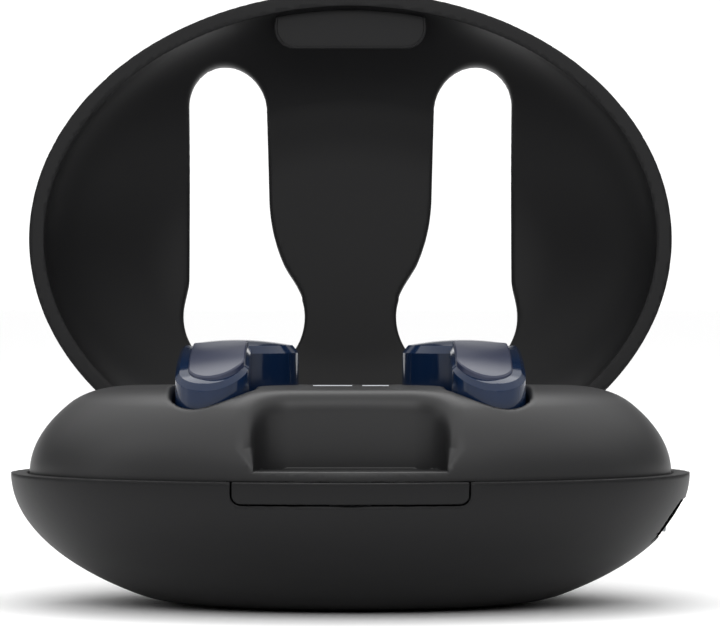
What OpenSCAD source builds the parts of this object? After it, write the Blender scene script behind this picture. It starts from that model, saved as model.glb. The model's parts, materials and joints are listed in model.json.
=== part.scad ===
// Wireless earbuds case with a windowed flip lid and two earbuds, all in millimetres.
// The origin is the centre of the flat foot, +Z is up, -Y is the front and +X the charging-port end.
// Modules work from the rim plane, where the base and the lid meet, and at_rim() lifts them onto the foot.
// Lid parts are drawn closed, and lid_open() swings them back about the hinge pin to their rest place.

/* [Case] */
// Overall length of the case, end to end
case_l = 75; // [73:0.5:92]
// Overall width of the case, front to back
case_w = 59.4; // [58:0.2:74]
// Height of the base, from its flat foot to the rim
base_h = 14.5; // [14:0.1:16]
// Height of the lid above the rim
lid_h = 14.8; // [14:0.1:16]
// Semi-height of the ellipsoid that both shells are cut from
pebble_h = 17.2; // [17:0.1:21]
// Wall of both shells at the rim
rim_wall = 1.75; // [1.4:0.05:2.1]
// Thickness of the base's flat floor
base_floor = 1.5; // [1:0.1:2]
// Thickness of the lid's flat crown
lid_crown = 1.6; // [1:0.1:2]
// Thinning of the lid's wall from the rim to the crown
lid_wall_up = 1.1; // [0.9:0.05:1.3]
// Gap between the closed lid and the rim
lid_gap = 0.2; // [0.1:0.05:0.4]

/* [Hinge] */
// Angle between the closed lid and the open lid
open_angle = 100; // [90:1:105]
// Distance of the hinge pin in from the back of the case
hinge_inset = 4.3; // [4:0.1:5]
// Height of the hinge pin above the rim
hinge_z = 1; // [0.6:0.1:1.4]
// Length of the hinge bracket
bracket_l = 39; // [34:0.5:42]
// Radius of the hinge bracket about the pin
bracket_r = 5.3; // [4.8:0.1:5.6]
// Radius of the hinge pin
pin_r = 0.75; // [0.5:0.05:1]
// Running clearance of the hinge pin in its bores
pin_play = 0.05; // [0.02:0.01:0.1]
// Thickness of each lid arm along the pin
arm_t = 4; // [3:0.1:5]
// Width of each lid arm across its length
arm_w = 3; // [2:0.1:3.4]
// Distance of each lid arm from the middle of the case
arm_x = 15; // [12:0.5:16]
// Radius of the eye of each lid arm
eye_r = 2.6; // [2:0.1:3]
// Reach of each lid arm from the pin
arm_reach = 8.3; // [8:0.1:9]
// Clearance around everything that swings
swing_gap = 0.3; // [0.2:0.05:0.5]

/* [Tray] */
// Height of the tray above the rim
tray_h = 9.6; // [8.5:0.1:10]
// Semi-height of the ellipsoid that the tray is cut from
tray_pebble_h = 15.7; // [15:0.1:15.9]
// Gap between the tray and the shells around it
tray_gap = 0.3; // [0.2:0.05:0.5]
// Wall of the tray
tray_wall = 1.4; // [1:0.1:1.6]
// Depth of the tray's skirt below the rim
tray_skirt = 3; // [2.9:0.1:3.1]
// Width of the notch in the tray's front
notch_w = 20.4; // [19.6:0.1:24]
// Distance of the notch's back wall in from the front of the case
notch_inset = 9.7; // [8.5:0.1:10.5]
// Height of the notch's floor above the rim
notch_floor = 1.1; // [0.9:0.1:1.3]
// Radius of the notch's back corners
notch_r = 4; // [2:0.5:6]

/* [Earbud] */
// Distance of the earbud's narrow front part from the middle of the case
bud_x = 14.85; // [14:0.05:15.5]
// Width of the earbud's narrow front part
bud_w = 7.9; // [7:0.1:8.4]
// Position of the front end of the earbud
bud_front = -21.6; // [-22:0.1:-20.6]
// Diameter of the earbud's round rear part
drum_d = 13.7; // [12.8:0.1:14]
// Distance of the round part from the middle of the case
drum_x = 12.65; // [12.2:0.05:13]
// Position of the centre of the round part
drum_y = 7.25; // [6:0.05:7.5]
// Height of the sloped face above the rim at the front end of the earbud
face_front_z = 10.7; // [10:0.1:11]
// Rise of that face towards the back, in degrees
face_slope = 9.5; // [6:0.5:12]
// Fall of that face towards the end of the case, in degrees
face_tilt = 16.5; // [8:0.5:18]
// Width of the ledge round that face
ledge_w = 0.95; // [0.6:0.05:1.2]
// Depth of the ledge below that face
ledge_drop = 1.05; // [0.8:0.05:1.4]
// Depth that the earbud's top lies under the lid's outer surface
bud_sink = 0.3; // [0.2:0.05:1]
// Underside of the earbud, from the rim
bud_bottom = -0.8; // [-0.9:0.1:-0.6]
// Joint line between the earbud's body and its covers, from the rim
bud_split = 7; // [6.8:0.1:7.4]
// Wall of the earbud's body
bud_wall = 1.2; // [0.8:0.1:1.4]
// Gap between the earbud and its socket and window
bud_gap = 0.45; // [0.35:0.05:0.6]
// Gap between the parts of one assembly
seat_gap = 0.05; // [0.02:0.01:0.1]
// Radius of the sound nozzle
nozzle_r = 2.6; // [2.2:0.1:2.8]
// Length of the sound nozzle
nozzle_l = 5.6; // [5:0.1:6]
// Radius of the silicone ear tip
tip_r = 5.9; // [5.5:0.1:6]
// Height of the silicone ear tip
tip_h = 7; // [6.5:0.1:7.2]

/* [Button] */
// Width of the front button
button_w = 25; // [20:0.5:26]
// Height of the front button, down from the rim
button_h = 2.3; // [2:0.1:2.6]
// Radius of the lower corners of the front button
button_r = 1; // [0.5:0.1:1.1]
// Travel of the front button
button_travel = 0.6; // [0.4:0.1:0.8]
// Gap around the front button
button_gap = 0.15; // [0.12:0.01:0.3]

/* [Lid boss] */
// Width of the boss in the lid that holds the closing magnets
boss_w = 18.7; // [16:0.1:18.8]
// Depth of the boss, from the lid's inner wall towards the middle
boss_d = 4.2; // [3.6:0.1:5]
// Distance of the boss's front face in from the front of the case
boss_inset = 2.5; // [2.3:0.1:3]
// Radius of the boss's inner corners
boss_r = 3; // [1:0.1:3.4]

/* [Port and electronics] */
// Width of the opening for the charging plug
port_w = 10.4; // [9.6:0.1:12]
// Height of the opening for the charging plug
port_h = 4; // [3.8:0.1:4.4]
// Centre of the opening, from the rim
port_z = -4.9; // [-5.1:0.1:-4.8]
// Width of the port's metal shell
shell_w = 8.94; // [8.3:0.02:9.2]
// Height of the port's metal shell
shell_h = 3.16; // [2.6:0.02:3.3]
// Length of the port's metal shell
shell_l = 7.3; // [6.5:0.1:7.5]
// Sheet thickness of the port's metal shell
shell_t = 0.3; // [0.2:0.05:0.4]
// Length of the case's battery
battery_l = 27; // [22:0.5:27.2]
// Width of the case's battery
battery_w = 14; // [10:0.5:14.2]
// Thickness of the case's battery
battery_t = 6; // [4:0.1:6.4]
// Length of the main board
board_l = 34; // [32:0.5:35]
// Width of the main board
board_w = 16; // [15:0.5:16.5]
// Thickness of the circuit boards
board_t = 0.8; // [0.6:0.1:1]
// Height of the main board over the base's floor
board_lift = 0.75; // [0.6:0.05:0.9]
// Radius of the small screws
screw_r = 0.5; // [0.4:0.05:0.6]

/* [Hidden] */
SIDES = ["left", "right"];
$fn = 64;

FINE = 160;
FAR = 200;
EPS = 0.01;

half_l = case_l / 2;
half_w = case_w / 2;
inner_l = half_l - rim_wall;
inner_w = half_w - rim_wall;
hinge_y = half_w - hinge_inset;
pin_bore_r = pin_r + pin_play;
base_top_of_floor = -(base_h - base_floor);

// Lid arms run forwards of upright when the lid is closed.
arm_angle = 105;
arm_half_spread = 38;
lid_cut_r = bracket_r + swing_gap;
lid_cut_l = bracket_l + 2 * swing_gap;
tray_cut_r = arm_reach + 0.4;
tray_back_y = hinge_y - hinge_inset;
slot_t = arm_t + 2 * swing_gap;

bud_r = bud_w / 2;
drum_r = drum_d / 2;
bud_front_y = bud_front + bud_r;
// The shoulder runs from here on the front part to a point on the drum, given as shares of its radius.
shoulder_y = -4;
shoulder_end = [0.92, -0.4];
socket_floor = bud_bottom - 0.4;
well_r = tip_r + 0.5;
tip_bottom = bud_bottom - seat_gap - 0.75 - tip_h;
well_floor = tip_bottom - 1;
cup_inset = 0.2;
nozzle_bore_r = nozzle_r - 0.9;

driver_r = 3.9;
driver_t = 1.8;
cell_r = 4.9;
cell_t = 4.2;

contact_x = bud_x + 1.35;
contact_y = [-14, -10];
bud_contact_r = 0.9;
pogo_r = 0.7;
pogo_hole_r = 0.85;
carrier_l = 8.6;
carrier_w = 3.6;
carrier_bottom = -4.5;
carrier_floor = 0.5;
socket_underside = socket_floor - tray_wall;
cradle_magnet_r = 1.7;
cradle_magnet_t = 1.5;

notch_back_y = -(half_w - notch_inset);
button_room_top = 0.15;
button_room_side = 0.7;
button_room_back = 0.4;
switch_y = -(half_w - 5);
switch_w = 4.4;
switch_h = 2.7;
switch_d = 1.8;
plunger_r = 0.8;
plunger_l = 2;
plunger_z = -1.15;
stem_r = 1;
boss_front_y = -(half_w - boss_inset);
boss_back_y = boss_front_y + boss_d;
boss_bottom = notch_floor + 0.4;
magnet_x = 5.5;
magnet_y = (boss_front_y + boss_back_y) / 2;
magnet_r = 1.4;
magnet_t = 2;

board_z = base_top_of_floor + board_lift;
battery_z = board_z + board_t + 0.2;
battery_y = -8;
board_screw_xy = [[-15.3, -6], [15.3, -6], [-3.2, 6.3], [3.2, 6.3]];
board_post_r = 1.7;
usb_post_r = 1.6;
hinge_post_r = 2.2;
post_skin = 0.2;
usb_board_l = 8.5;
usb_board_w = 12;
port_mouth_x = half_l * sqrt(1 - pow(port_z / pebble_h, 2));
shell_x = port_mouth_x - 1.3 - shell_l;
usb_board_x = shell_x - 6.2;
usb_board_top = port_z - shell_h / 2 - seat_gap;
usb_screw_x = usb_board_x + 3;
usb_screw_y = 4;
tongue_w = 6.7;
tongue_t = 0.7;
screw_head_r = 1;
screw_head_t = 0.6;

hinge_screw_x = 8;
hinge_screw_l = 6.5;
drive_r = 0.6;
drive_depth = 0.5;
hinge_screw_y = hinge_y - 2.8;
hinge_screw_head_r = 1.4;
hinge_screw_head_t = 1.2;
hinge_screw_head_z = 3;

pipe_y = -4;
pipe_w = 1;
pipe_rim = 0.6;
pipe_bars = [[-4.1, 4.3], [1.3, 2.9]];
tray_ceiling = tray_h - tray_wall;

SHELL_BLACK = "#2b2c2f";
TRAY_BLACK = "#3a3b3e";
NAVY = "#1c2247";
FACE_GREY = "#5c5f7a";
METAL = "#b9bcc0";
BOARD_GREEN = "#1f5a3c";
GOLD = "#c9a44a";

// ---- Helpers ----

module at_rim() {
  translate([0, 0, base_h]) children();
}

module lid_open() {
  translate([0, hinge_y, hinge_z])
    rotate([-open_angle, 0, 0])
      translate([0, -hinge_y, -hinge_z])
        children();
}

// Everything with two sides is drawn on the left, and the right side mirrors it.
module on_side(side) {
  if (side == "left") children();
  else mirror([1, 0, 0]) children();
}

// Ellipsoid about the middle of the rim plane.
module pebble(a, b, h) {
  scale([1, b / a, h / a]) sphere(r = a, $fn = FINE);
}

module case_outer() {
  pebble(half_l, half_w, pebble_h);
}

// Everything between two heights.
module slab(z0, z1) {
  translate([-FAR / 2, -FAR / 2, z0]) cube([FAR, FAR, z1 - z0]);
}

module round_rect(w, h, r) {
  square([w - 2 * r, h], center = true);
  square([w, h - 2 * r], center = true);
  for (x = [-1, 1], y = [-1, 1])
    translate([x * (w / 2 - r), y * (h / 2 - r)]) circle(r = r);
}

// Round bar about the hinge pin's axis, as long as l.
module hinge_bar(r, l) {
  translate([0, hinge_y, hinge_z])
    rotate([0, 90, 0])
      cylinder(r = r, h = l, center = true);
}

// Flat piece of thickness t across the hinge axis at x, from a shape in the Y-Z plane about the pin.
module across_hinge(x, t) {
  translate([x - t / 2, hinge_y, hinge_z])
    rotate([90, 0, 90])
      linear_extrude(t)
        children();
}

// Round-ended bar in the front of the left earbud, grown by m.
module bud_bar(m) {
  translate([-bud_x, bud_front_y]) circle(r = bud_r + m);
  translate([-bud_x - bud_r - m, bud_front_y]) square([bud_w + 2 * m, drum_y - bud_front_y]);
}

// Circle in the back of the left earbud, grown by m.
module bud_drum(m) {
  translate([-drum_x, drum_y]) circle(r = drum_r + m);
}

// Plan outline of the left earbud, grown by m: the bar widens into the circle over a shoulder.
module bud_outline(m) {
  bud_bar(m);
  bud_drum(m);
  polygon([
    [-bud_x, shoulder_y - m],
    [-bud_x + bud_r + m, shoulder_y - m],
    [-drum_x + drum_r * shoulder_end[0] + m, drum_y + drum_r * shoulder_end[1]],
    [-bud_x, drum_y]
  ]);
}

// Space under the sloped face, lowered by drop.
module under_face(drop) {
  translate([-bud_x, bud_front, face_front_z - drop])
    rotate([face_slope, -face_tilt, 0])
      translate([-FAR / 2, -FAR / 2, -FAR])
        cube([FAR, FAR, FAR]);
}

// ---- Base ----

module base_posts() {
  for (p = board_screw_xy)
    translate([p[0], p[1], base_top_of_floor - base_floor / 2])
      cylinder(r = board_post_r, h = base_floor / 2 + board_lift - seat_gap);
  intersection() {
    pebble(half_l - post_skin, half_w - post_skin, pebble_h - post_skin);
    union() {
      for (y = [-usb_screw_y, usb_screw_y])
        translate([usb_screw_x, y, -base_h])
          cylinder(r = usb_post_r, h = base_h + usb_board_top - board_t - seat_gap);
      for (x = [-hinge_screw_x, hinge_screw_x])
        translate([x, hinge_screw_y, -base_h + base_floor])
          cylinder(r = hinge_post_r, h = base_h - base_floor - 1);
    }
  }
}

module button_outline(m) {
  h = button_h + m + 6;
  translate([0, h / 2 - button_h - m]) round_rect(button_w + 2 * m, h, button_r);
}

module button_block(m) {
  translate([0, -half_w / 2, 0])
    rotate([90, 0, 0])
      linear_extrude(half_w)
        button_outline(m);
}

module base_shell() {
  color(SHELL_BLACK) at_rim() difference() {
    union() {
      difference() {
        intersection() {
          case_outer();
          slab(-base_h, 0);
        }
        intersection() {
          pebble(inner_l, inner_w, pebble_h - rim_wall);
          slab(base_top_of_floor, 1);
        }
      }
      base_posts();
    }
    hinge_bar(bracket_r + seat_gap, bracket_l + 2 * seat_gap);
    button_block(button_gap);
    translate([port_mouth_x - 6, 0, port_z])
      rotate([90, 0, 90])
        linear_extrude(12)
          round_rect(port_w, port_h, port_h / 2 - EPS);
    for (p = board_screw_xy)
      translate([p[0], p[1], -base_h + 0.6])
        cylinder(r = screw_r + seat_gap, h = 3);
    for (y = [-usb_screw_y, usb_screw_y])
      translate([usb_screw_x, y, usb_board_top - board_t - 3.2])
        cylinder(r = screw_r + seat_gap, h = 4);
    for (x = [-hinge_screw_x, hinge_screw_x])
      translate([x, hinge_screw_y, -hinge_screw_l - 0.5])
        cylinder(r = screw_r + seat_gap, h = hinge_screw_l + 2);
  }
}

// ---- Hinge ----

// Sweep of a lid arm from closed to open, as a shape about the pin.
module arm_sweep() {
  a0 = arm_angle - open_angle - arm_half_spread;
  a1 = arm_angle + arm_half_spread;
  circle(r = eye_r + swing_gap);
  polygon([[0, 0], for (i = [0:6]) let (a = a0 + (a1 - a0) * i / 6) 2 * bracket_r * [cos(a), sin(a)]]);
}

module hinge_bracket() {
  color(SHELL_BLACK) at_rim() difference() {
    intersection() {
      hinge_bar(bracket_r, bracket_l);
      case_outer();
    }
    hinge_bar(pin_bore_r, bracket_l + 1);
    for (x = [-arm_x, arm_x]) across_hinge(x, slot_t) arm_sweep();
    for (x = [-hinge_screw_x, hinge_screw_x]) {
      translate([x, hinge_screw_y, -FAR / 2]) cylinder(r = screw_r + seat_gap, h = FAR);
      translate([x, hinge_screw_y, hinge_screw_head_z - seat_gap])
        cylinder(r = hinge_screw_head_r + seat_gap, h = 6);
    }
  }
}

module hinge_pin() {
  color(METAL) at_rim() hinge_bar(pin_r, bracket_l - 1);
}

module hinge_screws() {
  color(METAL) at_rim()
    for (x = [-hinge_screw_x, hinge_screw_x])
      translate([x, hinge_screw_y, 0]) {
        translate([0, 0, -hinge_screw_l]) cylinder(r = screw_r, h = hinge_screw_l + hinge_screw_head_z + EPS);
        difference() {
          translate([0, 0, hinge_screw_head_z])
            cylinder(r = hinge_screw_head_r, h = hinge_screw_head_t);
          translate([0, 0, hinge_screw_head_z + hinge_screw_head_t - drive_depth])
            cylinder(r = drive_r, h = 1, $fn = 6);
        }
      }
}

// ---- Lid ----

module lid_inner() {
  pebble(inner_l, inner_w, pebble_h - lid_wall_up);
}

module lid_shell() {
  color(SHELL_BLACK) at_rim() lid_open() difference() {
    intersection() {
      case_outer();
      slab(lid_gap, lid_h);
    }
    intersection() {
      lid_inner();
      slab(-1, lid_h - lid_crown);
    }
    for (side = SIDES)
      on_side(side)
        translate([0, 0, 2])
          linear_extrude(lid_h)
            bud_outline(bud_gap);
    hinge_bar(lid_cut_r, lid_cut_l);
  }
}

module lid_arm(side) {
  color(SHELL_BLACK) at_rim() lid_open() on_side(side) difference() {
    intersection() {
      across_hinge(-arm_x, arm_t) {
        circle(r = eye_r);
        rotate(arm_angle) translate([0, -arm_w / 2]) square([2 * arm_reach, arm_w]);
      }
      hinge_bar(arm_reach, FAR);
      pebble(inner_l - seat_gap, inner_w - seat_gap, pebble_h - lid_wall_up - seat_gap);
    }
    hinge_bar(pin_bore_r, FAR);
  }
}

module boss_outline() {
  mid_y = (boss_front_y + boss_back_y) / 2;
  translate([-boss_w / 2, -half_w]) square([boss_w, half_w + boss_back_y - boss_r]);
  translate([-boss_w / 2 + boss_r, mid_y]) square([boss_w - 2 * boss_r, boss_back_y - mid_y]);
  for (x = [-1, 1])
    translate([x * (boss_w / 2 - boss_r), boss_back_y - boss_r]) circle(r = boss_r);
}

module lid_boss() {
  color(SHELL_BLACK) at_rim() lid_open() difference() {
    intersection() {
      translate([0, 0, boss_bottom]) linear_extrude(lid_h) boss_outline();
      pebble(inner_l - seat_gap, inner_w - seat_gap, pebble_h - lid_wall_up - seat_gap);
    }
    for (x = [-magnet_x, magnet_x])
      translate([x, magnet_y, boss_bottom + 0.4])
        cylinder(r = magnet_r + seat_gap, h = FAR);
  }
}

module lid_magnets() {
  color(METAL) at_rim() lid_open()
    for (x = [-magnet_x, magnet_x])
      translate([x, magnet_y, boss_bottom + 0.4 + seat_gap])
        cylinder(r = magnet_r, h = magnet_t);
}

// ---- Tray ----

module notch_outline(m) {
  w = notch_w / 2 + m;
  y = notch_back_y + m;
  r = notch_r + m;
  translate([-w, -FAR]) square([2 * w, FAR + y - r]);
  translate([-w + r, y - 2 * r]) square([2 * (w - r), 2 * r]);
  for (x = [-1, 1]) translate([x * (w - r), y - r]) circle(r = r);
}

// Hollow under the tray's skin, which the walls of the sockets, the notch and the hinge recess stand in.
module tray_hollow() {
  difference() {
    intersection() {
      pebble(inner_l - tray_gap - tray_wall, inner_w - tray_gap - tray_wall, tray_pebble_h - tray_wall);
      slab(-tray_skirt - 1, tray_ceiling);
    }
    for (side = SIDES)
      on_side(side)
        translate([0, 0, socket_underside])
          linear_extrude(FAR)
            bud_outline(bud_gap + tray_wall);
    translate([0, 0, button_room_top]) linear_extrude(FAR) notch_outline(tray_wall);
    hinge_bar(tray_cut_r + tray_wall, lid_cut_l + 2 * tray_wall);
    for (bar = pipe_bars)
      translate([bar[0] - pipe_rim, pipe_y - pipe_w / 2 - pipe_rim, tray_ceiling - 0.5])
        cube([bar[1] + 2 * pipe_rim, pipe_w + 2 * pipe_rim, 2]);
  }
}

module bud_socket() {
  translate([0, 0, socket_floor]) linear_extrude(FAR) bud_outline(bud_gap);
  translate([-drum_x, drum_y, well_floor]) cylinder(r = well_r, h = FAR);
  for (y = contact_y)
    translate([-contact_x, y, -FAR / 2]) cylinder(r = pogo_hole_r, h = FAR);
}

module tray() {
  color(TRAY_BLACK) at_rim() difference() {
    union() {
      difference() {
        intersection() {
          pebble(inner_l - tray_gap, inner_w - tray_gap, tray_pebble_h);
          slab(-tray_skirt, tray_h);
        }
        tray_hollow();
      }
      for (side = SIDES)
        on_side(side)
          translate([-drum_x, drum_y, well_floor - tray_wall + cup_inset])
            cylinder(r = well_r + tray_wall - cup_inset, h = socket_floor - well_floor + 2 * cup_inset);
    }
    for (side = SIDES) on_side(side) bud_socket();
    translate([0, 0, notch_floor]) linear_extrude(FAR) notch_outline(0);
    hinge_bar(tray_cut_r, lid_cut_l);
    translate([-lid_cut_l / 2, tray_back_y, -FAR / 2]) cube([lid_cut_l, FAR, FAR]);
    translate([-button_w / 2 - button_room_side, -FAR, -FAR + button_room_top])
      cube([button_w + 2 * button_room_side, FAR + switch_y + switch_d + button_room_back, FAR]);
    for (bar = pipe_bars)
      translate([bar[0] - seat_gap, pipe_y - pipe_w / 2 - seat_gap, 0])
        cube([bar[1] + 2 * seat_gap, pipe_w + 2 * seat_gap, FAR]);
  }
}

module tray_magnets() {
  color(METAL) at_rim()
    for (x = [-magnet_x, magnet_x])
      translate([x, magnet_y, button_room_top - seat_gap - magnet_t])
        cylinder(r = magnet_r, h = magnet_t);
}

module light_pipes() {
  color("#d8dade") at_rim()
    for (bar = pipe_bars)
      translate([bar[0], pipe_y - pipe_w / 2, tray_ceiling - 0.3])
        cube([bar[1], pipe_w, tray_wall + 0.35]);
}

module status_leds() {
  color("white") at_rim()
    for (bar = pipe_bars)
      translate([bar[0] + bar[1] / 2 - 0.5, pipe_y - 0.4, tray_ceiling - 1])
        cube([1, 0.8, 0.65]);
}

module led_board() {
  color(BOARD_GREEN) at_rim()
    translate([-5, pipe_y - 1.5, tray_ceiling - 1.05 - board_t])
      cube([10, 3, board_t]);
}

// ---- Front button ----

module front_button() {
  color(SHELL_BLACK) at_rim() {
    intersection() {
      difference() {
        case_outer();
        pebble(inner_l, inner_w, pebble_h - rim_wall);
      }
      slab(-FAR / 2, 0);
      button_block(0);
    }
    translate([0, -half_w + rim_wall / 2, plunger_z])
      rotate([-90, 0, 0])
        cylinder(r = stem_r, h = half_w - rim_wall / 2 + switch_y - 1.35);
  }
}

module switch_plunger() {
  color("#e8e2d0") at_rim()
    translate([0, switch_y - 1.3, plunger_z])
      rotate([-90, 0, 0])
        cylinder(r = plunger_r, h = plunger_l);
}

module tact_switch() {
  color(METAL) at_rim() difference() {
    translate([-switch_w / 2, switch_y, button_room_top - seat_gap - switch_h])
      cube([switch_w, switch_d, switch_h]);
    translate([0, switch_y - 1, plunger_z])
      rotate([-90, 0, 0])
        cylinder(r = plunger_r + seat_gap, h = plunger_l - 0.3 + button_travel + 0.1);
  }
}

// ---- Electronics of the case ----

module battery() {
  color("#9aa0a6") at_rim()
    translate([-battery_l / 2, battery_y - battery_w / 2, battery_z])
      cube([battery_l, battery_w, battery_t]);
}

module main_board() {
  color(BOARD_GREEN) at_rim() difference() {
    translate([-board_l / 2, -board_w / 2, board_z]) cube([board_l, board_w, board_t]);
    for (p = board_screw_xy)
      translate([p[0], p[1], board_z - 1]) cylinder(r = screw_r + seat_gap, h = board_t + 2);
  }
}

module small_screw(l) {
  translate([0, 0, -l]) cylinder(r = screw_r, h = l + EPS);
  translate([0, 0, seat_gap]) cylinder(r = screw_head_r, h = screw_head_t);
  cylinder(r = screw_r, h = screw_head_t / 2);
}

module board_screws() {
  color(METAL) at_rim()
    for (p = board_screw_xy)
      translate([p[0], p[1], board_z + board_t]) small_screw(board_t + 1.5);
}

module usb_board() {
  color(BOARD_GREEN) at_rim() difference() {
    translate([usb_board_x, -usb_board_w / 2, usb_board_top - board_t])
      cube([usb_board_l, usb_board_w, board_t]);
    for (y = [-usb_screw_y, usb_screw_y])
      translate([usb_screw_x, y, usb_board_top - board_t - 1])
        cylinder(r = screw_r + seat_gap, h = board_t + 2);
  }
}

module usb_screws() {
  color(METAL) at_rim()
    for (y = [-usb_screw_y, usb_screw_y])
      translate([usb_screw_x, y, usb_board_top]) small_screw(board_t + 2.5);
}

module port_profile(m) {
  round_rect(shell_w - 2 * m, shell_h - 2 * m, shell_h / 2 - m - EPS);
}

module usb_shell() {
  color(METAL) at_rim()
    translate([shell_x, 0, port_z])
      rotate([90, 0, 90])
        difference() {
          linear_extrude(shell_l) port_profile(0);
          translate([0, 0, 1]) linear_extrude(shell_l) port_profile(shell_t);
        }
}

module usb_tongue() {
  color("#1a1a1a") at_rim()
    translate([shell_x + 1 + seat_gap, -tongue_w / 2, port_z - tongue_t / 2])
      cube([shell_l - 2.2, tongue_w, tongue_t]);
}

// ---- Charging contacts under each earbud ----

module pogo_carrier(side) {
  mid_y = (contact_y[0] + contact_y[1]) / 2;
  top = socket_underside - seat_gap;
  color("#202020") at_rim() on_side(side) difference() {
    translate([-contact_x - carrier_w / 2, mid_y - carrier_l / 2, carrier_bottom])
      cube([carrier_w, carrier_l, top - carrier_bottom]);
    for (y = contact_y)
      translate([-contact_x, y, carrier_bottom + carrier_floor])
        cylinder(r = pogo_r + seat_gap, h = 10);
  }
}

module pogo_pins(side) {
  z = carrier_bottom + carrier_floor + seat_gap;
  color(GOLD) at_rim() on_side(side)
    for (y = contact_y)
      translate([-contact_x, y, z]) cylinder(r = pogo_r, h = bud_bottom - 0.15 - z);
}

module cradle_magnet(side) {
  color(METAL) at_rim() on_side(side)
    translate([-bud_x + 2.5, -12, socket_underside - seat_gap - cradle_magnet_t])
      cylinder(r = cradle_magnet_r, h = cradle_magnet_t);
}

// ---- Earbuds ----

module earbud_body(side) {
  color(NAVY) at_rim() on_side(side) difference() {
    union() {
      translate([0, 0, bud_bottom]) linear_extrude(bud_split - bud_bottom) bud_outline(0);
      translate([-drum_x, drum_y, bud_bottom - nozzle_l])
        cylinder(r = nozzle_r, h = nozzle_l + bud_wall / 2);
    }
    translate([0, 0, bud_bottom + bud_wall])
      linear_extrude(FAR) {
        bud_bar(-bud_wall);
        bud_drum(-bud_wall);
      }
    translate([-drum_x, drum_y, -FAR / 2]) cylinder(r = nozzle_bore_r, h = FAR);
    for (y = contact_y)
      translate([-contact_x, y, -FAR / 2]) cylinder(r = bud_contact_r + seat_gap, h = FAR);
  }
}

// Cover of the bar: a ledge all round, and the sloped face raised inside it.
module earbud_face(side) {
  color(FACE_GREY) at_rim() on_side(side) difference() {
    intersection() {
      slab(bud_split + seat_gap, lid_h - bud_sink);
      union() {
        intersection() {
          linear_extrude(FAR) bud_bar(0);
          under_face(ledge_drop);
        }
        intersection() {
          linear_extrude(FAR) bud_bar(-ledge_w);
          under_face(0);
        }
      }
    }
    translate([-drum_x, drum_y, 0]) cylinder(r = drum_r + seat_gap, h = FAR);
    translate([-FAR / 2, drum_y, 0]) cube([FAR, FAR, FAR]);
  }
}

module earbud_drum(side) {
  color(NAVY) at_rim() on_side(side) intersection() {
    translate([0, 0, bud_split + seat_gap]) linear_extrude(FAR) bud_drum(0);
    pebble(half_l - bud_sink, half_w - bud_sink, pebble_h - bud_sink);
    slab(0, lid_h - bud_sink);
  }
}

// Silicone tip: a domed skirt that folds back over a short tube on the nozzle.
module ear_tip(side) {
  skirt_end = bud_bottom - seat_gap - 0.75;
  dome_z = tip_bottom + tip_h * 0.65;
  mouth_r = 1.9;
  tube_r = nozzle_r + 0.75;
  skirt_t = 0.7;
  color("#4a4c55") at_rim() on_side(side)
    translate([-drum_x, drum_y, 0])
      rotate_extrude()
        polygon([
          for (i = [0:6]) let (a = 15 * i)
            [mouth_r + (tip_r - mouth_r) * sin(a), dome_z - (dome_z - tip_bottom) * cos(a)],
          [tip_r - 0.1, skirt_end],
          [tip_r - 0.1 - skirt_t, skirt_end],
          for (i = [6:-1:3]) let (a = 15 * i)
            [
              mouth_r + (tip_r - skirt_t - mouth_r) * sin(a),
              dome_z - (dome_z - tip_bottom - skirt_t) * cos(a)
            ],
          [tube_r, dome_z - (dome_z - tip_bottom - skirt_t) * cos(45) - 0.2],
          [tube_r, skirt_end],
          [nozzle_r + seat_gap, skirt_end],
          [nozzle_r + seat_gap, bud_bottom - nozzle_l - seat_gap],
          [mouth_r, bud_bottom - nozzle_l - seat_gap]
        ]);
}

module nozzle_mesh(side) {
  color(METAL) at_rim() on_side(side)
    translate([-drum_x, drum_y, bud_bottom - nozzle_l + 0.1])
      cylinder(r = nozzle_bore_r - seat_gap, h = 0.3);
}

module earbud_contacts(side) {
  color(GOLD) at_rim() on_side(side)
    for (y = contact_y)
      translate([-contact_x, y, bud_bottom]) cylinder(r = bud_contact_r, h = bud_wall - seat_gap);
}

module earbud_driver(side) {
  color(METAL) at_rim() on_side(side)
    translate([-drum_x, drum_y, bud_bottom + bud_wall + seat_gap]) cylinder(r = driver_r, h = driver_t);
}

module earbud_battery(side) {
  color("#c8ccd0") at_rim() on_side(side)
    translate([-drum_x, drum_y, bud_bottom + bud_wall + 2 * seat_gap + driver_t])
      cylinder(r = cell_r, h = cell_t);
}

module earbud_board(side) {
  w = bud_w - 2 * bud_wall - 0.4;
  color(BOARD_GREEN) at_rim() on_side(side)
    translate([-bud_x - w / 2, -17, bud_bottom + bud_wall + seat_gap])
      cube([w, 17.5, board_t]);
}

// ---- Assembly ----

base_shell();
tray();
hinge_bracket();
hinge_pin();
hinge_screws();
lid_shell();
lid_arm("left");  // lid_arm_left
lid_arm("right");  // lid_arm_right
lid_boss();
lid_magnets();
tray_magnets();
front_button();
switch_plunger();
tact_switch();
battery();
main_board();
board_screws();
usb_board();
usb_screws();
usb_shell();
usb_tongue();
light_pipes();
status_leds();
led_board();
pogo_carrier("left");  // pogo_carrier_left
pogo_carrier("right");  // pogo_carrier_right
pogo_pins("left");  // pogo_pins_left
pogo_pins("right");  // pogo_pins_right
cradle_magnet("left");  // cradle_magnet_left
cradle_magnet("right");  // cradle_magnet_right
earbud_body("left");  // earbud_body_left
earbud_body("right");  // earbud_body_right
earbud_face("left");  // earbud_face_left
earbud_face("right");  // earbud_face_right
earbud_drum("left");  // earbud_drum_left
earbud_drum("right");  // earbud_drum_right
ear_tip("left");  // ear_tip_left
ear_tip("right");  // ear_tip_right
nozzle_mesh("left");  // nozzle_mesh_left
nozzle_mesh("right");  // nozzle_mesh_right
earbud_contacts("left");  // earbud_contacts_left
earbud_contacts("right");  // earbud_contacts_right
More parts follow.
